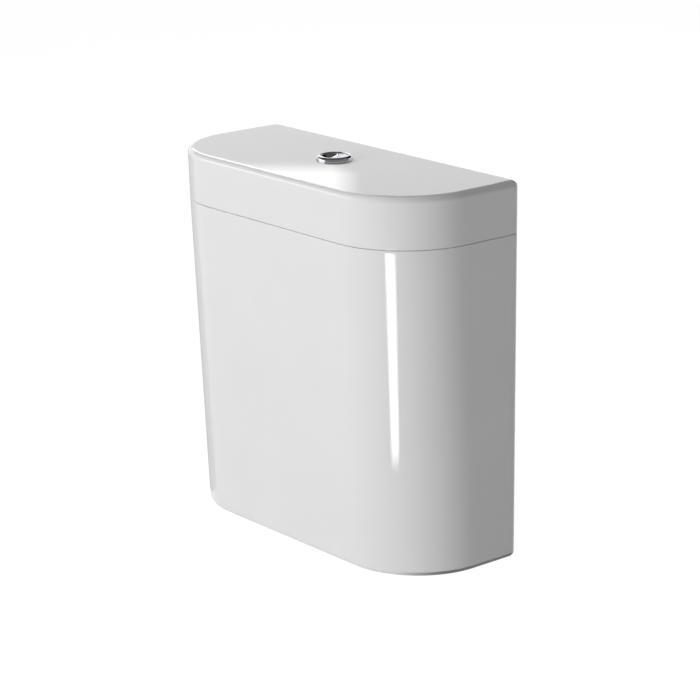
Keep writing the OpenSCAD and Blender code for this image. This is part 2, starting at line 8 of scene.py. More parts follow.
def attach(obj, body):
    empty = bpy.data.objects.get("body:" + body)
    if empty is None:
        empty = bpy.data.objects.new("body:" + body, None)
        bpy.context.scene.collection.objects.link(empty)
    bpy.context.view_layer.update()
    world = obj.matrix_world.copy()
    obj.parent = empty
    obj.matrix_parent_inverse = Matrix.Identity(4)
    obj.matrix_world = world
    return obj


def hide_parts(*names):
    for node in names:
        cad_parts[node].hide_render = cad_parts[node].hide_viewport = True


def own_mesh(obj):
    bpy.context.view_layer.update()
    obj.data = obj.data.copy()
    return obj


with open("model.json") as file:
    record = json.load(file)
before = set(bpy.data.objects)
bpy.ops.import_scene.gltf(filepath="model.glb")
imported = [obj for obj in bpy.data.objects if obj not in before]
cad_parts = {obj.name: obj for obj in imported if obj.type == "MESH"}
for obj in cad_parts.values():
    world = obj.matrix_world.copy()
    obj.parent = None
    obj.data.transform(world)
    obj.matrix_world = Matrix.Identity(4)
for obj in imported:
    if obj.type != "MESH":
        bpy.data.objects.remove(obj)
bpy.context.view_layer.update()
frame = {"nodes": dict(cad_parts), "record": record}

scene = bpy.context.scene
nodes = frame["nodes"]
bodyOf = {node: body for body, members in frame["record"]["behaviour"]["bodies"].items() for node in members}
slotOf = {row["node"]: row["material_slot"] for row in frame["record"]["subparts"]}
mm = 0.001
weld = 1e-6  # points closer than this, in metres, are one point
print("frame loaded:", len(nodes), "nodes")


# materials: a grain is its size in mm and its detail, a bump its strength and its depth in mm

def linear(code):  # sRGB hex to linear colour
    channels = [int(code[i:i + 2], 16) / 255 for i in (0, 2, 4)]
    return [c / 12.92 if c <= 0.04045 else ((c + 0.055) / 1.055) ** 2.4 for c in channels] + [1.0]


def addNode(tree, kind, settings):  # a socket among the values is linked, the rest are set
    node = tree.nodes.new(kind)
    for key, value in settings.items():
        if isinstance(key, str) and key not in node.inputs and hasattr(node, key):
            setattr(node, key, value)
        elif isinstance(value, bpy.types.NodeSocket):
            tree.links.new(value, node.inputs[key])
        else:
            node.inputs[key].default_value = value
    return node


def startMaterial(name):
    material = bpy.data.materials.new(name)
    material.use_nodes = True
    tree = material.node_tree
    tree.nodes.clear()
    place = addNode(tree, "ShaderNodeTexCoord", {}).outputs["Object"]
    return material, tree, place


def endMaterial(tree, shader):
    addNode(tree, "ShaderNodeOutputMaterial", {"Surface": shader.outputs[0]})


def noise(tree, place, size, detail, distortion=0.0):
    return addNode(tree, "ShaderNodeTexNoise", {
        "Vector": place, "Scale": 1 / (size * mm), "Detail": detail, "Distortion": distortion}).outputs["Fac"]


def blend(tree, share, first, second):
    return addNode(tree, "ShaderNodeMix", {
        "data_type": "RGBA", "Factor": share, 6: first, 7: second}).outputs[2]


def spread(tree, value, ends, given=(0.0, 1.0)):  # takes a value from the given range to another
    return addNode(tree, "ShaderNodeMapRange", {
        "Value": value, "From Min": given[0], "From Max": given[1],
        "To Min": ends[0], "To Max": ends[1]}).outputs["Result"]


def bump(tree, height, strength, depth, under=None):
    settings = {"Height": height, "Strength": strength, "Distance": depth * mm}
    if under is not None:
        settings["Normal"] = under
    return addNode(tree, "ShaderNodeBump", settings).outputs["Normal"]


# vitreous china, slip cast and glazed: a deep even gloss over a skin that is never quite flat,
# with painted shade darkening the rounded edges at the two ends
chinaSettings = {"pale": "F3F3F3", "deep": "EEEEEE", "thin": "6E6E6E", "cloud": (85, 3.0), "mist": (22, 4.0),
                 "wave": (90, 1.0), "waveBump": (1.0, 0.012), "peel": (3.2, 1.0), "peelBump": (1.0, 0.0005),
                 "gloss": (0.02, 0.035), "ior": 1.52}


def makeGlaze():
    s = chinaSettings
    material, tree, place = startMaterial("vitreousChinaGlazed")
    tint = blend(tree, noise(tree, place, *s["cloud"]), linear(s["pale"]), linear(s["deep"]))
    # painted shade: the rounded edges at the ends are darkened towards a grey
    edge = addNode(tree, "ShaderNodeAttribute", {"attribute_name": "paintedEdgeShade"})
    edgeShaded = blend(tree, edge.outputs["Fac"], tint, linear(s["thin"]))
    gloss = spread(tree, noise(tree, place, *s["mist"]), s["gloss"])
    broad = bump(tree, noise(tree, place, *s["wave"]), *s["waveBump"])
    fine = bump(tree, noise(tree, place, *s["peel"]), *s["peelBump"], broad)
    endMaterial(tree, addNode(tree, "ShaderNodeBsdfPrincipled", {
        "Base Color": edgeShaded, "Roughness": gloss, "IOR": s["ior"], "Normal": fine}))
    return material


# bare fired china where the glaze was wiped off to stand in the kiln: dry, a little warm, with fine grit
bisqueSettings = {"clay": "E9E4D9", "stain": "D6CFC0", "smear": (14, 4.0), "grit": (0.9, 5.0),
                  "gritBump": (0.8, 0.03), "gloss": 0.72, "ior": 1.5}


def makeBisque():
    s = bisqueSettings
    material, tree, place = startMaterial("firedClayWiped")
    tint = blend(tree, noise(tree, place, *s["smear"]), linear(s["clay"]), linear(s["stain"]))
    normal = bump(tree, noise(tree, place, *s["grit"]), *s["gritBump"])
    endMaterial(tree, addNode(tree, "ShaderNodeBsdfPrincipled", {
        "Base Color": tint, "Roughness": s["gloss"], "IOR": s["ior"], "Normal": normal}))
    return material


# bright chromium plate on a moulded body: a dark mirror with faint polishing haze
chromeSettings = {"bright": "C3C5C9", "cool": "B6B8BD", "haze": (6, 4.0), "gloss": (0.03, 0.075),
                  "polish": (1.4, 2.0), "polishBump": (1.0, 0.0006)}
# a greyer plate over a fine blasted face: it spreads what it mirrors into soft greys
satinSettings = dict(chromeSettings, bright="8A8C90", cool="808287", gloss=(0.2, 0.3),
                     polish=(0.5, 2.0), polishBump=(1.0, 0.003))


def makeChrome(name, s):
    material, tree, place = startMaterial(name)
    haze = noise(tree, place, *s["haze"])
    tint = blend(tree, haze, linear(s["bright"]), linear(s["cool"]))
    normal = bump(tree, noise(tree, place, *s["polish"]), *s["polishBump"])
    endMaterial(tree, addNode(tree, "ShaderNodeBsdfPrincipled", {
        "Base Color": tint, "Metallic": 1.0, "Roughness": spread(tree, haze, s["gloss"]), "Normal": normal}))
    return material


# injection moulded plastics: fine spark grain from the mould, with cloudy flow through the colour
mouldSettings = {"flow": (18, 3.0, 0.8), "grain": (0.7, 2.0), "grainBump": (0.6, 0.02), "ior": 1.49}
plasticSettings = {
    "white_plastic": {"name": "polypropyleneMouldedWhite", "light": "EFEEE8", "dark": "E2E0D8",
                      "gloss": (0.34, 0.5)},
    "grey_plastic": {"name": "absMouldedGrey", "light": "A3AAB0", "dark": "8F969C", "gloss": (0.36, 0.52)},
    "blue_plastic": {"name": "acetalMouldedBlue", "light": "3A6FB4", "dark": "2C5C9E", "gloss": (0.28, 0.44)},
}


def makePlastic(s):
    mould = mouldSettings
    material, tree, place = startMaterial(s["name"])
    flow = noise(tree, place, *mould["flow"])
    tint = blend(tree, flow, linear(s["light"]), linear(s["dark"]))
    normal = bump(tree, noise(tree, place, *mould["grain"]), *mould["grainBump"])
    endMaterial(tree, addNode(tree, "ShaderNodeBsdfPrincipled", {
        "Base Color": tint, "Roughness": spread(tree, flow, s["gloss"]), "IOR": mould["ior"],
        "Normal": normal}))
    return material


# moulded rubber: soft black, dusted grey with mould bloom, faintly pitted
rubberSettings = {"black": "1D1D1F", "grey": "34353A", "bloom": (9, 5.0), "dust": (0.42, 0.75),
                  "gloss": (0.5, 0.75), "pit": (1.1, 3.0), "pitBump": (0.7, 0.05), "ior": 1.52}


def makeRubber():
    s = rubberSettings
    material, tree, place = startMaterial("epdmRubberMoulded")
    bloom = noise(tree, place, *s["bloom"])
    dust = spread(tree, bloom, (0.0, 1.0), s["dust"])
    tint = blend(tree, dust, linear(s["black"]), linear(s["grey"]))
    normal = bump(tree, noise(tree, place, *s["pit"]), *s["pitBump"])
    endMaterial(tree, addNode(tree, "ShaderNodeBsdfPrincipled", {
        "Base Color": tint, "Roughness": spread(tree, bloom, s["gloss"]), "IOR": s["ior"], "Normal": normal}))
    return material


# stainless steel, turned and tumbled: fine rings across the length and a soft grey shine
steelSettings = {"bright": "C2C0BB", "dull": "A5A39E", "smudge": (5, 4.0), "gloss": (0.2, 0.38),
                 "ringLong": 25, "ringHigh": 0.5, "ringDetail": 2.0, "ringBump": (0.8, 0.006)}


def makeSteel():
    s = steelSettings
    material, tree, place = startMaterial("stainlessSteelTurned")
    long, high = 1 / (s["ringLong"] * mm), 1 / (s["ringHigh"] * mm)
    stretch = addNode(tree, "ShaderNodeMapping", {"Vector": place, "Scale": (long, long, high)})
    rings = addNode(tree, "ShaderNodeTexNoise", {
        "Vector": stretch.outputs["Vector"], "Scale": 1.0, "Detail": s["ringDetail"]})
    smudge = noise(tree, place, *s["smudge"])
    tint = blend(tree, smudge, linear(s["bright"]), linear(s["dull"]))
    normal = bump(tree, rings.outputs["Fac"], *s["ringBump"])
    endMaterial(tree, addNode(tree, "ShaderNodeBsdfPrincipled", {
        "Base Color": tint, "Metallic": 1.0, "Roughness": spread(tree, smudge, s["gloss"]),
        "Normal": normal}))
    return material


finishes = {slot: makePlastic(s) for slot, s in plasticSettings.items()}
finishes.update({"ceramic": makeGlaze(), "chrome": makeChrome("chromiumPlated", chromeSettings),
                 "rubber": makeRubber(), "steel": makeSteel()})
bisque = makeBisque()
satin = makeChrome("chromiumSatin", satinSettings)
print("materials made:", len(finishes) + 2)


# mesh helpers

def meshObject(name, bm, materials):
    bmesh.ops.remove_doubles(bm, verts=bm.verts, dist=weld)
    bmesh.ops.recalc_face_normals(bm, faces=bm.faces)
    mesh = bpy.data.meshes.new(name)
    bm.to_mesh(mesh)
    bm.free()
    for material in materials:
        mesh.materials.append(material)
    piece = bpy.data.objects.new(name, mesh)
    scene.collection.objects.link(piece)
    return piece


def bakeModifiers(piece):  # the finished shape becomes a plain mesh
    graph = bpy.context.evaluated_depsgraph_get()
    made = bpy.data.meshes.new_from_object(piece.evaluated_get(graph))
    piece.modifiers.clear()
    piece.data = made
    return piece


def cutAway(piece, cutters):
    for cutter in cutters:
        cut = piece.modifiers.new("cut", "BOOLEAN")
        cut.object = cutter
        cut.operation = "DIFFERENCE"
        cut.solver = "EXACT"
    bakeModifiers(piece)
    for cutter in cutters:
        bpy.data.objects.remove(cutter)


def roundEdges(piece, width, segments, angle=35):
    bevel = piece.modifiers.new("round", "BEVEL")
    bevel.width = width * mm
    bevel.segments = segments
    bevel.limit_method = "ANGLE"
    bevel.angle_limit = math.radians(angle)
    bevel.harden_normals = False
    return bakeModifiers(piece)


def smoothShade(piece, angle=32):
    piece.data.shade_smooth()
    piece.data.set_sharp_from_angle(angle=math.radians(angle))
    even = piece.modifiers.new("even", "WEIGHTED_NORMAL")
    even.keep_sharp = True
    return bakeModifiers(piece)


def oneFinish(piece):
    for face in piece.data.polygons:
        face.material_index = 0


def rideWith(piece, node):  # rides where the CAD node rides
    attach(piece, bodyOf[node])


def standFor(piece, node):
    rideWith(piece, node)
    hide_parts(node)
    return piece


def arc(x, y, r, start, end, steps):
    angles = [math.radians(start + (end - start) * i / steps) for i in range(steps + 1)]
    return [(x + r * math.cos(a), y + r * math.sin(a)) for a in angles]


def lathe(profile, steps, x=0.0, y=0.0):  # closed profile of radius and height, in mm
    bm = bmesh.new()
    rings = []
    for i in range(steps):
        a = 2 * math.pi * i / steps
        rings.append([bm.verts.new(((x + r * math.cos(a)) * mm, (y + r * math.sin(a)) * mm, z * mm))
                      for r, z in profile])
    onAxis = [r <= weld for r, z in profile]
    count = len(profile)
    for i in range(steps):
        here, there = rings[i], rings[(i + 1) % steps]
        for k in range(count):
            n = (k + 1) % count
            if onAxis[k] and onAxis[n]:
                continue
            corners = [here[k], there[k], there[n], here[n]]
            if onAxis[k]:
                corners = [here[k], there[n], here[n]]
            elif onAxis[n]:
                corners = [here[k], there[k], here[n]]
            bm.faces.new(corners)
    return bm


def rod(name, x, y, radius, ends, steps):
    low, high = ends
    return meshObject(name, lathe([(0, low), (radius, low), (radius, high), (0, high)], steps, x, y), [])


# ceramic tank and lid: a level is a height and an inset from the outline, and the hold values place
# extra levels beside a round so that the flat next to it stays flat

chinaShape = {"width": 375, "depth": 159, "backY": 65, "rim": 331, "top": 383, "lean": 16.5, "lidLean": 1.5,
              "frontR": 85, "backR": 10, "leastR": 3, "frontSteps": 44, "backSteps": 10, "hold": 2.5,
              "endFrom": 150, "endRun": 30}
# the tank's last value sets how far up the foot's round the painted shade runs
tankShape = {"footR": 6, "footW": 13, "footHold": 1, "recess": 3.5, "recessR": 1.5, "recessHold": (8, 2.5),
             "soleR": 1.0, "floor": 14, "wall": 10, "wallHold": 2, "fillet": 12, "seam": 0.8, "seamHold": 1.5,
             "rimR": 2.5, "rimHold": 0.8, "tailHole": 32.2, "boltHole": 6.4, "inletHole": 12.48, "boltX": 75,
             "inlet": (-125, 5), "cut": (-5, 30), "bareBelow": 0.4, "edgeShadeRun": 4.0}
# the lid's last two values set the strength and run of the painted shade on its top edge
lidShape = {"edgeR": 6.5, "edgeHold": 2, "gap": 0.4, "seam": 0.8, "seamHold": (0.6, 1.5), "wall": 12,
            "wallHold": (2, 1), "roof": 374, "roofR": 4, "roofHold": (10, 6), "ledge": 8, "ledgeR": 2,
            "lipIn": 13, "lipW": 6, "lipDrop": 6, "lipR": 1.6, "lipTopR": 1.5, "stepR": 1.0,
            "step": (4.2, 3.6), "hole": 16.6, "button": (0, -12), "cut": (360, 400), "bareNear": 0.3,
            "bareTilt": 0.9, "edgeShadeStrength": 0.085, "edgeShadeRun": (3, 12)}


def planRing(z, inset):
    s = chinaShape
    lean = s["lean"] * (1 - max(z, 0) / s["rim"])  # the tank leans back to the foot, the lid a little forward
    if z > s["rim"]:
        lean = -s["lidLean"] * (z - s["rim"]) / (s["top"] - s["rim"])
    half = s["width"] / 2 - inset
    frontR = s["frontR"] - inset
    backR = max(s["backR"] - inset, s["leastR"])
    frontY = s["backY"] - s["depth"] + lean + inset + frontR
    rearY = s["backY"] - inset - backR
    hold = s["hold"]
    points = arc(half - frontR, frontY, frontR, 270, 360, s["frontSteps"])
    points += [(half, frontY + hold), (half, rearY - hold)]
    points += arc(half - backR, rearY, backR, 0, 90, s["backSteps"])
    points += [(half - backR - hold, rearY + backR), (backR - half + hold, rearY + backR)]
    points += arc(backR - half, rearY, backR, 90, 180, s["backSteps"])
    points += [(-half, rearY - hold), (-half, frontY + hold)]
    points += arc(frontR - half, frontY, frontR, 180, 270, s["frontSteps"])
    points += [(frontR - half + hold, frontY - frontR), (half - frontR - hold, frontY - frontR)]
    return [(x * mm, y * mm, z * mm) for x, y in points]


def chinaSkin(levels):  # closed skin through the levels, flat at both ends
    bm = bmesh.new()
    rings = [[bm.verts.new(p) for p in planRing(z, inset)] for z, inset in levels]
    count = len(rings[0])
    for low, high in zip(rings, rings[1:]):
        for i in range(count):
            n = (i + 1) % count
            bm.faces.new([low[i], low[n], high[n], high[i]])
    bm.faces.new(list(reversed(rings[0])))
    bm.faces.new(rings[-1])
    return bm


def corner(z, inset, r, start, end, steps):  # rounded edge as levels, angle 0 points inwards and 90 up
    return [(height, inward) for inward, height in arc(inset, z, r, start, end, steps)]


def bareFaces(piece, test):  # wiped faces take the second material
    for face in piece.data.polygons:
        if test(face):
            face.material_index = 1


def paintedEdgeShade(piece, share):  # painted shade on rounded edges, from 0 to 1 at each point
    edgeShaded = piece.data.attributes.new("paintedEdgeShade", "FLOAT", "POINT")
    edgeShaded.data.foreach_set("value", [share(v.co.x / mm, v.co.z / mm) for v in piece.data.vertices])


def endShadeShare(x):  # painted edge shade: nothing along the front, all of it at the two ends
    return max(0.0, min(1.0, (abs(x) - chinaShape["endFrom"]) / chinaShape["endRun"]))


def makeTank():
    s, rim = tankShape, chinaShape["rim"]
    levels = [(s["recess"], s["footW"] + hold) for hold in s["recessHold"]]
    levels += corner(s["recess"] - s["recessR"], s["footW"] + s["recessR"], s["recessR"], 90, 180, 4)
    levels += corner(s["soleR"], s["footW"] - s["soleR"], s["soleR"], 0, -90, 4)
    levels += [(0, s["footR"] + s["footHold"])]
    levels += corner(s["footR"], s["footR"], s["footR"], -90, -180, 10)
    levels += [(s["footR"] + s["wallHold"], 0), (rim / 2, 0), (rim - s["seam"] - s["seamHold"], 0)]
    levels += corner(rim - s["seam"], s["seam"], s["seam"], 180, 90, 4)
    levels += [(rim, s["seam"] + s["rimHold"]), (rim, s["wall"] - s["rimR"] - s["rimHold"])]
    levels += corner(rim - s["rimR"], s["wall"] - s["rimR"], s["rimR"], 90, 0, 6)
    levels += [(rim - s["rimR"] - s["wallHold"], s["wall"])]
    levels += [(s["floor"] + s["fillet"] + s["wallHold"], s["wall"])]
    levels += corner(s["floor"] + s["fillet"], s["wall"] + s["fillet"], s["fillet"], 180, 270, 8)
    levels += [(s["floor"], s["wall"] + s["fillet"] + s["wallHold"])]
    tank = meshObject("cisternTank", chinaSkin(levels), [finishes["ceramic"], bisque])
    holes = [rod("tailCut", 0, 0, s["tailHole"], s["cut"], 96)]
    holes += [rod("boltCut", side * s["boltX"], 0, s["boltHole"], s["cut"], 48) for side in (-1, 1)]
    holes += [rod("inletCut", *s["inlet"], s["inletHole"], s["cut"], 64)]
    cutAway(tank, holes)
    bareFaces(tank, lambda face: face.center.z < s["bareBelow"] * mm)
    smoothShade(tank)

    def footEdgeShade(x, z):  # painted shade, full on the lower part of the foot's round
        return endShadeShare(x) * max(0.0, min(1.0, s["edgeShadeRun"] * (1 - z / s["footR"])))

    paintedEdgeShade(tank, footEdgeShade)
    return standFor(tank, "tank")


def makeLid():
    s, rim, top = lidShape, chinaShape["rim"], chinaShape["top"]
    lipOut = s["lipIn"] + s["lipW"]
    ledge = rim + s["ledge"]
    lipLow = rim - s["lipDrop"] + s["lipR"]
    seamLow = rim + s["gap"]
    seamTop = seamLow + s["seam"]
    levels = [(s["roof"], s["wall"] + hold) for hold in s["roofHold"]]
    levels += corner(s["roof"] - s["roofR"], s["wall"] + s["roofR"], s["roofR"], 90, 180, 6)
    levels += [(s["roof"] - s["roofR"] - s["wallHold"][0], s["wall"])]
    levels += [(ledge + s["ledgeR"] + s["wallHold"][1], s["wall"])]
    levels += corner(ledge + s["ledgeR"], s["wall"] + s["ledgeR"], s["ledgeR"], 180, 270, 4)
    levels += corner(ledge - s["lipTopR"], lipOut - s["lipTopR"], s["lipTopR"], 90, 0, 4)
    levels += corner(lipLow, lipOut - s["lipR"], s["lipR"], 0, -90, 4)
    levels += corner(lipLow, s["lipIn"] + s["lipR"], s["lipR"], -90, -180, 4)
    levels += corner(rim - s["stepR"], s["lipIn"] - s["stepR"], s["stepR"], 0, 90, 3)
    levels += [(rim, s["step"][0]), (seamLow, s["step"][1]), (seamLow, s["seam"] + s["seamHold"][0])]
    levels += corner(seamTop, s["seam"], s["seam"], 270, 180, 4)
    levels += [(seamTop + s["seamHold"][1], 0), (top - s["edgeR"] - s["edgeHold"], 0)]
    levels += corner(top - s["edgeR"], s["edgeR"], s["edgeR"], 180, 90, 12)
    levels += [(top, s["edgeR"] + s["edgeHold"])]
    lid = meshObject("cisternLid", chinaSkin(levels), [finishes["ceramic"], bisque])
    cutAway(lid, [rod("buttonCut", *s["button"], s["hole"], s["cut"], 96)])
    bareFaces(lid, lambda face: (abs(face.center.z - rim * mm) < s["bareNear"] * mm
                                 and abs(face.normal.z) > s["bareTilt"]))
    smoothShade(lid)

    def lidEdgeShade(x, z):  # painted shade, strongest a little below the lid's top
        turn = (z - top + s["edgeR"]) / s["edgeR"]
        rise, fall = s["edgeShadeRun"]
        return s["edgeShadeStrength"] * endShadeShare(x) * max(0.0, min(1.0, rise * turn, fall * (1 - turn)))

    paintedEdgeShade(lid, lidEdgeShade)
    return standFor(lid, "lid")


makeTank()
makeLid()
print("ceramic made")


# chrome push button

bezelShape = {"x": 0, "y": -12, "ring": 18.25, "ringEase": 0.3, "collar": 16, "collarEase": 0.6, "cup": 14.3,
              "cupEase": 1, "lidTop": 383, "lidGap": 0.02, "top": 389, "cupFloor": 356.6, "low": 353.6,
              "shoulder": (3.0, 4.4), "innerR": 0.7, "innerHold": 3, "stemX": 8, "stemHole": 3.06,
              "stemCut": (340, 366), "steps": 128}
buttonShape = {"x": 0, "y": -12, "r": 14, "top": 387.6, "low": 378.6, "dish": 1.2, "splitX": -13.5,
               "splitR": 13, "splitGap": 0.6, "edge": 0.4, "grid": 0.9, "gridLines": 15, "faceDepth": 0.2,
               "rimSteps": (72, 40), "splitSteps": 48, "stemX": 8, "stemR": 3, "stemLow": 349.6,
               "stemEase": 0.3, "stemSink": 0.5, "stemBore": 1.8, "boreDeep": 10, "stemSteps": 40}
scoopShape = {"x": -7.2, "halfX": 6.2, "halfY": 9.5, "depth": 2.2}


def makeBezel():
    s = bezelShape
    seat = s["lidTop"] + s["lidGap"]
    profile = [(0, s["low"]), (s["collar"] - s["collarEase"], s["low"]),
               (s["collar"], s["low"] + s["collarEase"]), (s["collar"], seat),
               (s["ring"] - s["ringEase"], seat), (s["ring"], s["lidTop"] + s["ringEase"])]
    wide, tall = s["shoulder"]
    profile += [(s["ring"] - wide * (1 - r), s["top"] - tall * (1 - z)) for r, z in arc(0, 0, 1.0, 0, 90, 12)]
    profile += arc(s["cup"] + s["innerR"], s["top"] - s["innerR"], s["innerR"], 90, 180, 6)
    profile += [(s["cup"], s["top"] - s["innerHold"]), (s["cup"], s["cupFloor"] + s["cupEase"]),
                (s["cup"] - s["cupEase"], s["cupFloor"]), (0, s["cupFloor"])]
    bezel = meshObject("buttonBezel", lathe(profile, s["steps"], s["x"], s["y"]), [finishes["chrome"]])
    cutAway(bezel, [rod("stemCut", side * s["stemX"], s["y"], s["stemHole"], s["stemCut"], 48)
                    for side in (-1, 1)])
    smoothShade(bezel)
    bezel.visible_glossy = False  # leaves no image of itself in the lid
    return standFor(bezel, "button_bezel")


def buttonOutline(side):  # side 1 is the crescent on the right, the full flush; side -1 the lens on the left
    s = buttonShape
    r = s["splitR"] + side * s["splitGap"] / 2
    reach = (s["r"] ** 2 - r * r + s["splitX"] ** 2) / (2 * s["splitX"])  # x where the split meets the rim
    rimAngle = math.degrees(math.acos(reach / s["r"]))
    cutAngle = math.degrees(math.acos((reach - s["splitX"]) / r))
    if side > 0:
        rim = arc(0, 0, s["r"], -rimAngle, rimAngle, s["rimSteps"][0])
    else:
        rim = arc(0, 0, s["r"], rimAngle, 360 - rimAngle, s["rimSteps"][1])
    return rim + arc(s["splitX"], 0, r, side * cutAngle, -side * cutAngle, s["splitSteps"])[1:-1]


def dishFace(bm, side):  # a fine grid over the face lets it take the dish
    s = buttonShape
    for normal in (Vector((1, 0, 0)), Vector((0, 1, 0))):
        for i in range(-s["gridLines"], s["gridLines"] + 1):
            point = Vector(((s["x"] + i * s["grid"]) * mm, (s["y"] + i * s["grid"]) * mm, 0))
            upper = [f for f in bm.faces if f.calc_center_median().z > (s["top"] - s["faceDepth"]) * mm]
            edges = list({e for f in upper for e in f.edges})
            points = list({v for f in upper for v in f.verts})
            bmesh.ops.bisect_plane(bm, geom=upper + edges + points, plane_co=point, plane_no=normal,
                                   dist=weld / 10)
    for v in bm.verts:
        x, y = v.co.x / mm - s["x"], v.co.y / mm - s["y"]
        lift = max(0.0, min(1.0, (v.co.z / mm - s["low"]) / (s["top"] - s["low"])))
        drop = s["dish"] * max(0.0, 1 - (x * x + y * y) / s["r"] ** 2)
        if side < 0:  # the half flush has a finger scoop of its own
            c = scoopShape
            drop += c["depth"] * max(0.0, 1 - ((x - c["x"]) / c["halfX"]) ** 2 - (y / c["halfY"]) ** 2)
        v.co.z -= drop * lift * mm


def addStem(bm, side):
    s = buttonShape
    boreTop = s["stemLow"] + s["boreDeep"]
    profile = [(s["stemBore"], s["stemLow"]), (s["stemR"] - s["stemEase"], s["stemLow"]),
               (s["stemR"], s["stemLow"] + s["stemEase"]), (s["stemR"], s["low"] + s["stemSink"]),
               (0, s["low"] + s["stemSink"]), (0, boreTop), (s["stemBore"], boreTop)]
    stem = lathe(profile, s["stemSteps"], s["x"] + side * s["stemX"], s["y"])
    bmesh.ops.remove_doubles(stem, verts=stem.verts, dist=weld)
    bmesh.ops.recalc_face_normals(stem, faces=stem.faces)
    spare = bpy.data.meshes.new("stem")
    stem.to_mesh(spare)
    stem.free()
    bm.from_mesh(spare)


def makeButton(name, node, side):
    s = buttonShape
    bm = bmesh.new()
    low = [bm.verts.new(((s["x"] + x) * mm, (s["y"] + y) * mm, s["low"] * mm))
           for x, y in buttonOutline(side)]
    high = [bm.verts.new((v.co.x, v.co.y, s["top"] * mm)) for v in low]
    for i in range(len(low)):
        n = (i + 1) % len(low)
        bm.faces.new([low[i], low[n], high[n], high[i]])
    bm.faces.new(list(reversed(low)))
    bm.faces.new(high)
    button = roundEdges(meshObject(name, bm, [finishes["chrome"]]), s["edge"], 4, 40)
    bm = bmesh.new()
    bm.from_mesh(button.data)
    dishFace(bm, side)
    addStem(bm, side)
    bm.to_mesh(button.data)
    bm.free()
    smoothShade(button)
    if side > 0:
        button.data.materials[0] = satin
    button.visible_glossy = False
    return standFor(button, node)


makeBezel()
makeButton("fullFlushButton", "full_flush_button", 1)
makeButton("halfFlushButton", "half_flush_button", -1)
print("push button made")


# moulded, turned and stamped pieces: the CAD shape with its edges eased

easeShape = {"weld": 2e-6, "flat": 0.6, "segments": 2, "smooth": 30}
easedEdges = {
    "bezel_nut": 0.5, "full_push_rod": 0.3, "half_push_rod": 0.3, "valve_base": 0.5, "valve_backnut": 0.8,
    "valve_cage": 0.5, "guide_ring": 0.4, "lever_bracket": 0.6, "main_tube": 0.35, "full_lift_blade": 0.5,
    "overflow_tube": 0.35, "half_lift_blade": 0.5, "full_lever": 0.5, "half_lever": 0.5, "fill_shank": 0.35,
    "shank_backnut": 0.6, "fill_riser": 0.3, "fill_head": 0.6, "fill_cap": 0.6, "fill_float": 0.6,
    "float_link": 0.35, "float_arm": 0.4, "discharge_tube": 0.2, "inlet_filter": 0.15, "bezel_washer": 0.3,
    "base_washer": 0.5, "coupling_gasket": 1.2, "main_seal": 0.5, "half_seal": 0.5, "shank_washer": 0.5,
    "diaphragm": 0.3, "bolt_cone_washers": 0.5, "bolt_under_washers": 0.5, "lever_pins": 0.25,
    "arm_pin": 0.25, "coupling_bolts": 0.3, "bolt_steel_washers": 0.2, "bolt_nuts": 0.35,
}


def easeNode(node, width):
    s = easeShape
    bm = bmesh.new()
    bm.from_mesh(nodes[node].data)
    bmesh.ops.remove_doubles(bm, verts=bm.verts, dist=s["weld"])
    bmesh.ops.dissolve_limit(bm, angle_limit=math.radians(s["flat"]), verts=bm.verts, edges=bm.edges)
    words = node.split("_")
    name = words[0] + "".join(word.capitalize() for word in words[1:])
    piece = meshObject(name, bm, [finishes[slotOf[node]]])
    oneFinish(piece)
    roundEdges(piece, width, s["segments"])
    smoothShade(piece, s["smooth"])
    return standFor(piece, node)


for node, width in easedEdges.items():
    easeNode(node, width)
print("eased pieces made:", len(easedEdges))


# geometry nodes for threads, springs and grip ribs

def startTree(name, sockets):
    tree = bpy.data.node_groups.new(name, "GeometryNodeTree")
    tree.interface.new_socket(name="Geometry", in_out="OUTPUT", socket_type="NodeSocketGeometry")
    for label, kind in sockets.items():
        tree.interface.new_socket(name=label, in_out="INPUT", socket_type="NodeSocket" + kind)
    return tree, addNode(tree, "NodeGroupInput", {}).outputs


def endTree(tree, geometry, given):
    moved = addNode(tree, "GeometryNodeTransform", {"Geometry": geometry, "Translation": given["Place"]})
    whole = addNode(tree, "GeometryNodeRealizeInstances", {"Geometry": moved.outputs[0]})
    coloured = addNode(tree, "GeometryNodeSetMaterial", {
        "Geometry": whole.outputs[0], "Material": given["Finish"]})
    addNode(tree, "NodeGroupOutput", {"Geometry": coloured.outputs[0]})
    return tree


def helixTree():  # a wire wound up an upright cylinder
    tree, given = startTree("woundWire", {
        "Radius": "Float", "Turns": "Float", "Rise": "Float", "Wire": "Float", "Steps": "Int", "Sides": "Int",
        "Place": "Vector", "Finish": "Material"})
    spiral = addNode(tree, "GeometryNodeCurveSpiral", {
        "Resolution": given["Steps"], "Rotations": given["Turns"], "Start Radius": given["Radius"],
        "End Radius": given["Radius"], "Height": given["Rise"]})
    section = addNode(tree, "GeometryNodeCurvePrimitiveCircle", {
        "Resolution": given["Sides"], "Radius": given["Wire"]})
    tube = addNode(tree, "GeometryNodeCurveToMesh", {
        "Curve": spiral.outputs[0], "Profile Curve": section.outputs[0], "Fill Caps": True})
    return endTree(tree, tube.outputs[0], given)


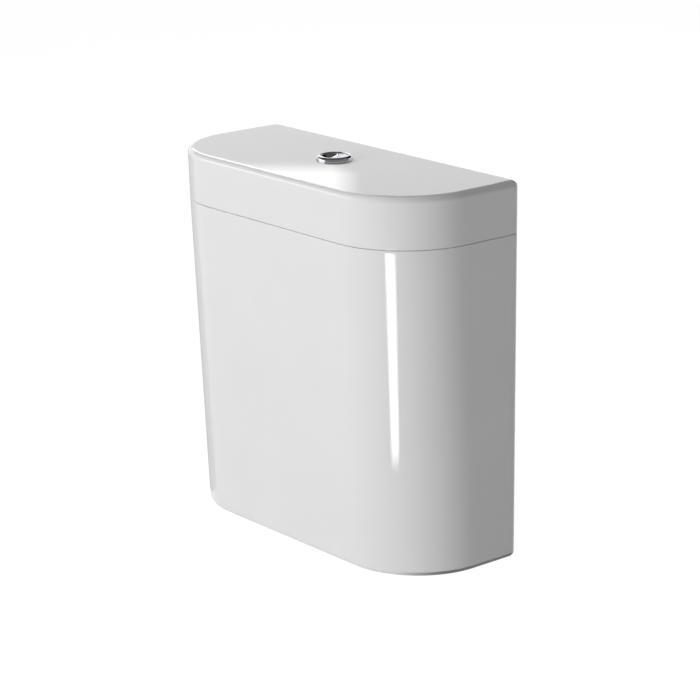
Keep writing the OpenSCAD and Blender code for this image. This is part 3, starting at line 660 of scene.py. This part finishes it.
def ribTree():  # upright ribs spaced round a circle
    tree, given = startTree("gripRibs", {
        "Radius": "Float", "Count": "Int", "Width": "Float", "Depth": "Float", "Height": "Float",
        "Place": "Vector", "Finish": "Material"})
    points = addNode(tree, "GeometryNodeMeshCircle", {"Vertices": given["Count"], "Radius": given["Radius"]})
    size = addNode(tree, "ShaderNodeCombineXYZ", {
        "X": given["Depth"], "Y": given["Width"], "Z": given["Height"]})
    rib = addNode(tree, "GeometryNodeMeshCube", {"Size": size.outputs[0], "Vertices X": 3, "Vertices Y": 3})
    share = addNode(tree, "ShaderNodeMath", {"operation": "DIVIDE", 0: 2 * math.pi, 1: given["Count"]})
    index = addNode(tree, "GeometryNodeInputIndex", {})
    angle = addNode(tree, "ShaderNodeMath", {
        "operation": "MULTIPLY", 0: index.outputs[0], 1: share.outputs[0]})
    turn = addNode(tree, "ShaderNodeCombineXYZ", {"Z": angle.outputs[0]})
    ribs = addNode(tree, "GeometryNodeInstanceOnPoints", {
        "Points": points.outputs[0], "Instance": rib.outputs[0], "Rotation": turn.outputs[0]})
    return endTree(tree, ribs.outputs[0], given)


def growPieces(name, tree, runs):  # one plain mesh from one or more runs of a tree
    bm = bmesh.new()
    for values in runs:
        carrier = bpy.data.objects.new("carrier", bpy.data.meshes.new("carrier"))
        scene.collection.objects.link(carrier)
        grow = carrier.modifiers.new("grow", "NODES")
        grow.node_group = tree
        for item in tree.interface.items_tree:
            if item.in_out == "INPUT":
                grow[item.identifier] = values[item.name]
        bakeModifiers(carrier)
        bm.from_mesh(carrier.data)
        bpy.data.objects.remove(carrier)
    piece = meshObject(name, bm, [runs[0]["Finish"]])
    oneFinish(piece)
    return smoothShade(piece, 38)


springShape = {"r": 4.4, "wire": 0.45, "turns": 6, "low": 356.6, "free": 22, "press": 8, "endGap": 0.02,
               "x": 8, "y": -12, "steps": 40, "sides": 12}
threadSteps = {"Steps": 40, "Sides": 4}
threadShape = {
    "boltThreads": {"node": "coupling_bolts", "at": [(-75, 0), (75, 0)], "r": 3.86, "pitch": 1.25,
                    "low": -31, "high": -8.2, "ridge": 0.42},
    "shankThread": {"node": "fill_shank", "at": [(-125, 5)], "r": 10.2, "pitch": 1.814,
                    "low": -33.2, "high": -8.4, "ridge": 0.6},
    "tailThread": {"node": "valve_base", "at": [(0, 0)], "r": 29.5, "pitch": 2.309,
                   "low": -13.6, "high": 2.5, "ridge": 0.75},
    "collarThread": {"node": "button_bezel", "at": [(0, -12)], "r": 15.8, "pitch": 1.5,
                     "low": 355.2, "high": 373.4, "ridge": 0.5},
}
ribShape = {
    "capRibs": {"node": "fill_cap", "at": (-125, 5), "r": 19, "count": 36, "width": 1.5, "depth": 1.0,
                "low": 231.5, "high": 248},
    "nutRibs": {"node": "valve_backnut", "at": (0, 0), "r": 41, "count": 60, "width": 1.6, "depth": 0.9,
                "low": 0.9, "high": 3.1},
    "headRibs": {"node": "fill_head", "at": (-125, 5), "r": 17, "count": 12, "width": 1.8, "depth": 1.2,
                 "low": 206, "high": 228},
}
wound = helixTree()
ribbed = ribTree()


def makeSprings():
    s = springShape
    endGap = s["wire"] + s["endGap"]
    for side, word in ((1, "full"), (-1, "half")):
        x, y = side * s["x"] * mm, s["y"] * mm
        run = {"Radius": s["r"] * mm, "Turns": float(s["turns"]), "Rise": (s["free"] - 2 * endGap) * mm,
               "Wire": s["wire"] * mm, "Steps": s["steps"], "Sides": s["sides"], "Finish": finishes["steel"],
               "Place": (x, y, (s["low"] + endGap) * mm)}
        spring = standFor(growPieces(word + "ButtonSpring", wound, [run]), word + "_button_spring")
        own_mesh(spring)


def makeThreads():
    for name, s in threadShape.items():
        rise = s["high"] - s["low"]
        run = {"Radius": s["r"] * mm, "Turns": rise / s["pitch"], "Rise": rise * mm, "Wire": s["ridge"] * mm,
               "Finish": finishes[slotOf[s["node"]]], **threadSteps}
        runs = [dict(run, Place=(x * mm, y * mm, s["low"] * mm)) for x, y in s["at"]]
        rideWith(growPieces(name, wound, runs), s["node"])


def makeRibs():
    for name, s in ribShape.items():
        x, y = s["at"]
        run = {"Radius": s["r"] * mm, "Count": s["count"], "Width": s["width"] * mm, "Depth": s["depth"] * mm,
               "Height": (s["high"] - s["low"]) * mm, "Finish": finishes[slotOf[s["node"]]],
               "Place": (x * mm, y * mm, (s["low"] + s["high"]) / 2 * mm)}
        rideWith(growPieces(name, ribbed, [run]), s["node"])


makeSprings()
makeThreads()
makeRibs()
print("springs, threads and ribs made")


# studio: the camera and the floor's height and grain are in mm, the rest in metres

cameraShape = {"azimuth": 50.026, "elevation": 16.511, "distance": 2587.19, "aim": (11.81, -3.87, 188.59),
               "lens": 131.772, "sensor": 36, "roll": -0.504}
floorShape = {"z": -34.7, "size": 8.0, "glow": 0.955, "shade": "707070", "bounce": "D4D4D4",
              "grain": (2.5, 2.0), "grainBump": (1.0, 0.02)}
# brightness from the horizon to overhead; the mirrored room darkens between the two ceiling heights
worldShape = {"seen": 1.0, "mirrored": (1.0, 0.12), "ceiling": (0.25, 0.5), "fill": (0.312, 0.12)}
lampShape = {
    "keyPanel": {"at": (0.38, -3.3, 0.76), "aim": (0, -0.02, 0.2), "size": (2.0, 1.4), "power": 60.5},
    "rearPanel": {"at": (-0.5, 3.0, 0.42), "aim": (0, 0.08, 0.2), "size": (1.8, 1.0), "power": 30},
    "topPanel": {"at": (-1.25, -0.45, 1.6), "aim": (0, 0, 0.38), "size": (0.9, 0.9), "power": 8.6},
}
cardHub = (0, -0.012, 0.385)
cardSteps = 8
# cards that only gloss mirrors: bright ones draw the highlights, dark ones the dark lines; soft is the share
# of the card's width or height that fades at its left, right, bottom and top
cardShape = {
    "cornerStrip": {"corners": [(0.238, -0.3555, -0.022), (0.309, -0.322, -0.022),
                                (0.3435, -0.309, 0.228), (0.255, -0.360, 0.228)],
                    "soft": (0.25, 0.25, 0.12, 0), "strength": 12.0},
    "lidCard": {"corners": [(-1.495, 0.494, 0.7006), (-1.110, 0.962, 0.7073),
                            (-1.110, 0.962, 1.36), (-1.495, 0.494, 1.36)],
                "soft": (0, 0.075, 0.0275, 0.05), "strength": 2.5},
    "edgeCard": {"turn": (-124, -106), "rise": (21, 38), "far": 1.55,
                 "soft": (0.2, 0.2, 0.2, 0.2), "strength": 4.2},
    "leftCard": {"turn": (-67, -12), "rise": (2, 20), "far": 1.6,
                 "soft": (0.2, 0.2, 0.2, 0.2), "strength": 3.4},
    "backCard": {"turn": (-150, -100), "rise": (-3, 17), "far": 2.2,
                 "soft": (0.1, 0, 0, 0), "strength": 1.25},
    "backFlag": {"turn": (-190, -140), "rise": (14, 45), "far": 1.5,
                 "soft": (0, 0, 0, 0), "strength": 0.0},
    "leftFlag": {"corners": [(-0.25, -0.10, -0.03), (-0.25, 0.12, -0.03),
                             (-0.25, 0.12, 0.37), (-0.25, -0.10, 0.37)],
                 "soft": (0, 0, 0, 0), "strength": 0.55},
    "sideFlag": {"turn": (-10, 165), "rise": (1.5, 45), "far": 1.3,
                 "soft": (0.04, 0.1, 0, 0), "strength": 0.28},
}


def makeCamera():
    s = cameraShape
    a, e = math.radians(s["azimuth"]), math.radians(s["elevation"])
    back = Vector((math.sin(a) * math.cos(e), -math.cos(a) * math.cos(e), math.sin(e)))
    lens = bpy.data.cameras.new("camera")
    lens.sensor_width = s["sensor"]
    lens.lens = s["lens"]
    camera = bpy.data.objects.new("camera", lens)
    camera.location = Vector(s["aim"]) * mm + back * s["distance"] * mm
    level = (-back).to_track_quat("-Z", "Y")
    camera.rotation_euler = (level @ Quaternion((0, 0, 1), math.radians(s["roll"]))).to_euler()
    scene.collection.objects.link(camera)
    scene.camera = camera


def makeWorld():  # a pale room under a dark ceiling, plain white behind the piece
    s = worldShape
    world = bpy.data.worlds.new("studio")
    world.use_nodes = True
    tree = world.node_tree
    tree.nodes.clear()
    path = addNode(tree, "ShaderNodeLightPath", {})
    direction = addNode(tree, "ShaderNodeTexCoord", {}).outputs["Generated"]
    height = addNode(tree, "ShaderNodeSeparateXYZ", {0: direction}).outputs["Z"]
    fill = spread(tree, height, s["fill"])
    mirrored = addNode(tree, "ShaderNodeMapRange", {
        "interpolation_type": "SMOOTHSTEP", "Value": height, "From Min": s["ceiling"][0],
        "From Max": s["ceiling"][1], "To Min": s["mirrored"][0], "To Max": s["mirrored"][1]})
    level = addNode(tree, "ShaderNodeMix", {
        0: path.outputs["Is Glossy Ray"], 2: fill, 3: mirrored.outputs["Result"]})
    level = addNode(tree, "ShaderNodeMix", {
        0: path.outputs["Is Camera Ray"], 2: level.outputs[0], 3: s["seen"]})
    light = addNode(tree, "ShaderNodeBackground", {"Color": (1, 1, 1, 1), "Strength": level.outputs[0]})
    addNode(tree, "ShaderNodeOutputWorld", {"Surface": light.outputs[0]})
    scene.world = world


def seenDirectly(tree):  # 1 for camera, mirror and glass rays
    path = addNode(tree, "ShaderNodeLightPath", {})
    first = addNode(tree, "ShaderNodeMath", {
        "operation": "MAXIMUM", 0: path.outputs["Is Camera Ray"], 1: path.outputs["Is Glossy Ray"]})
    return addNode(tree, "ShaderNodeMath", {
        "operation": "MAXIMUM", 0: first.outputs[0], 1: path.outputs["Is Transmission Ray"]}).outputs[0]


def makeFloor():  # glows white where it is seen, and bounces a softer light
    s = floorShape
    bm = bmesh.new()
    bmesh.ops.create_grid(bm, x_segments=1, y_segments=1, size=s["size"] / 2)
    bmesh.ops.translate(bm, verts=bm.verts, vec=(0, 0, s["z"] * mm))
    material, tree, place = startMaterial("studioFloorPainted")
    normal = bump(tree, noise(tree, place, *s["grain"]), *s["grainBump"])
    bounce = addNode(tree, "ShaderNodeBsdfDiffuse", {"Color": linear(s["bounce"]), "Normal": normal})
    shade = addNode(tree, "ShaderNodeBsdfDiffuse", {"Color": linear(s["shade"]), "Normal": normal})
    glow = addNode(tree, "ShaderNodeEmission", {"Strength": s["glow"]})
    seen = addNode(tree, "ShaderNodeAddShader", {0: shade.outputs[0], 1: glow.outputs[0]})
    endMaterial(tree, addNode(tree, "ShaderNodeMixShader", {
        0: seenDirectly(tree), 1: bounce.outputs[0], 2: seen.outputs[0]}))
    floor = meshObject("studioFloor", bm, [material])


def between(ends, share):
    return ends[0] + (ends[1] - ends[0]) * share


def around(turn, rise, far):  # a place round the hub at the button, turn from the front towards the right
    a, e = math.radians(turn), math.radians(rise)
    out = Vector((math.sin(a) * math.cos(e), -math.cos(a) * math.cos(e), math.sin(e)))
    return Vector(cardHub) + far * out


def cardPoint(s, u, v):  # u runs from left to right and v from bottom to top
    if "turn" in s:
        return around(between(s["turn"], u), between(s["rise"], v), s["far"])
    lowLeft, lowRight, highRight, highLeft = [Vector(c) for c in s["corners"]]
    return lowLeft.lerp(lowRight, u).lerp(highLeft.lerp(highRight, u), v)


def makeCards():
    for name, s in cardShape.items():
        left, right, bottom, top = s["soft"]
        across = sorted({0, left, 1 - right, 1} | {i / cardSteps for i in range(cardSteps + 1)})
        upward = sorted({0, bottom, 1 - top, 1})
        bm = bmesh.new()
        share = bm.verts.layers.float.new("share")
        rows = []
        for v in upward:
            rows.append([])
            for u in across:
                point = bm.verts.new(cardPoint(s, u, v))
                edges = [(u, left), (1 - u, right), (v, bottom), (1 - v, top)]
                point[share] = min(min(1.0, gap / soft) if soft else 1.0 for gap, soft in edges)
                rows[-1].append(point)
        for low, high in zip(rows, rows[1:]):
            for i in range(len(across) - 1):
                bm.faces.new([low[i], low[i + 1], high[i + 1], high[i]])
        material, tree, _ = startMaterial(name + "Cloth")
        shown = addNode(tree, "ShaderNodeAttribute", {"attribute_name": "share"})
        clear = addNode(tree, "ShaderNodeBsdfTransparent", {})
        glow = addNode(tree, "ShaderNodeEmission", {"Strength": s["strength"]})
        endMaterial(tree, addNode(tree, "ShaderNodeMixShader", {
            0: shown.outputs["Fac"], 1: clear.outputs[0], 2: glow.outputs[0]}))
        card = meshObject(name, bm, [material])
        card.visible_camera = card.visible_diffuse = card.visible_shadow = False
        card.visible_transmission = card.visible_volume_scatter = False


def makeLamps():
    for name, s in lampShape.items():
        light = bpy.data.lights.new(name, "AREA")
        light.shape = "RECTANGLE"
        light.size, light.size_y = s["size"]
        light.energy = s["power"]
        lamp = bpy.data.objects.new(name, light)
        lamp.location = s["at"]
        lamp.rotation_euler = (Vector(s["aim"]) - Vector(s["at"])).to_track_quat("-Z", "Y").to_euler()
        lamp.visible_camera = lamp.visible_glossy = False
        scene.collection.objects.link(lamp)


makeCamera()
makeWorld()
makeFloor()
makeCards()
makeLamps()
scene.view_settings.view_transform = "Standard"
print("studio made")
